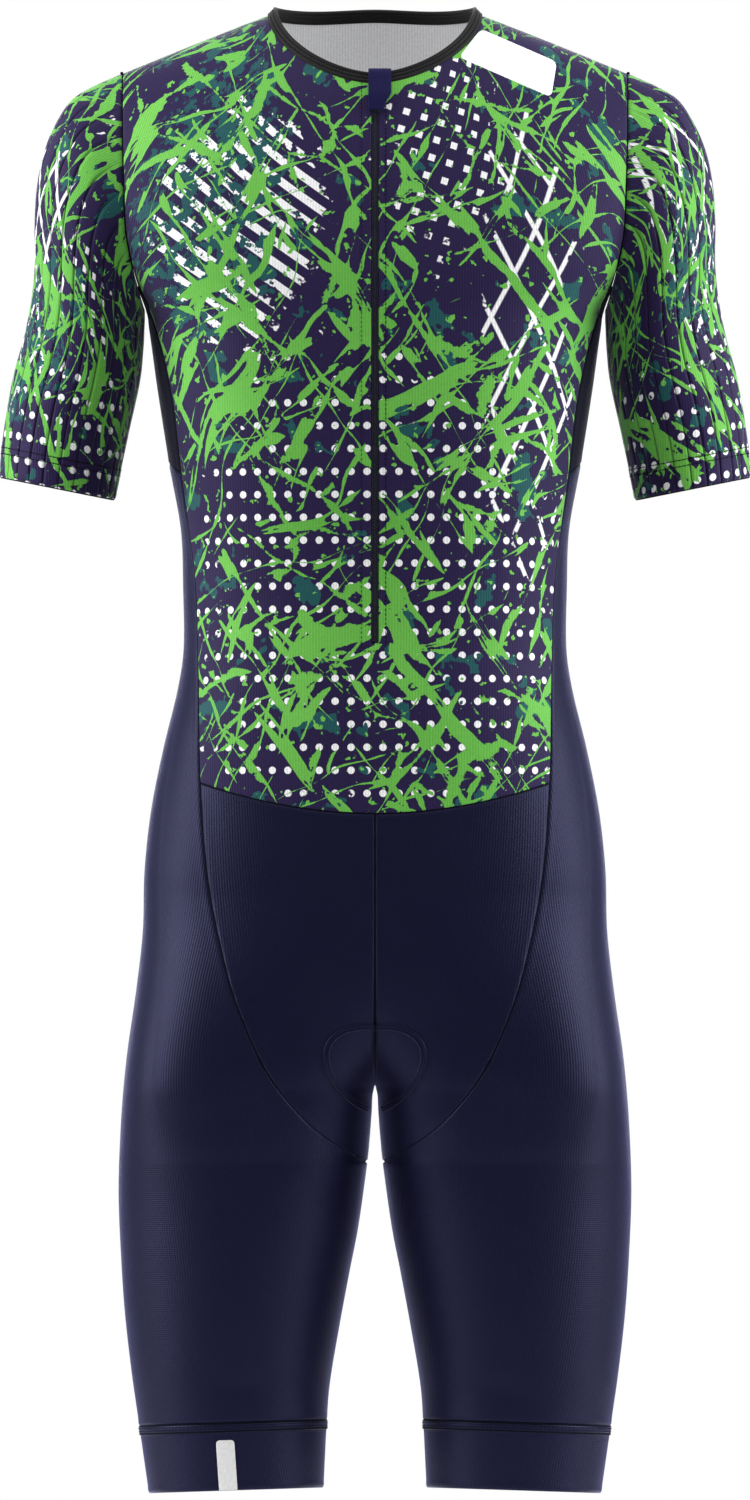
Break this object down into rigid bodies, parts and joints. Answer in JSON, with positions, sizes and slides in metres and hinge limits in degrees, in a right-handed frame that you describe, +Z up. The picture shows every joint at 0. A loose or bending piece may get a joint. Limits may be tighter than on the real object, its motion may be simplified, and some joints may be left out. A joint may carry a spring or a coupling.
{
  "type": "triathlon suit",
  "caption": "One-piece triathlon suit in its worn, hollow form, with short ribbed sleeves, a front zip and legs to above the knee.",
  "frame": {"origin": "midway between the shoulders, at the height of the middle of the shoulder line, where the wearer carries the suit", "axes": "+Z up, the front faces -Y, +X is the wearer's left"},
  "size_m": [0.5394, 0.2371, 1.0697],
  "materials": {
    "print": "smooth printed stretch knit, green, purple-navy, teal and white",
    "navy": "smooth stretch knit with a soft sheen",
    "underarm": "near-black stretch knit",
    "binding": "matt folded elastic binding",
    "grip": "matt silicone grip tape",
    "zip_tape": "woven zip tape",
    "zip": "black nylon coil",
    "garage": "dark blue folded cloth",
    "pad_seam": "flat stitched seam",
    "tab": "white woven tab, bare"
  },
  "bodies": {
    "root": {"front_print": "print", "back_print": "print", "underarm_left": "underarm", "underarm_right": "underarm", "leg_left": "navy", "leg_right": "navy", "band_left": "navy", "band_right": "navy", "yoke_left": "navy", "yoke_right": "navy", "seat_left": "navy", "seat_right": "navy", "sleeve_left": "print", "sleeve_right": "print", "grip_left": "grip", "grip_right": "grip", "neck_binding": "binding", "zip_tape": "zip_tape", "zip_chain": "zip", "zip_slider": "zip", "zip_garage": "garage", "pad_seam_left": "pad_seam", "pad_seam_right": "pad_seam", "hem_tab": "tab"}
  },
  "joints": []
}
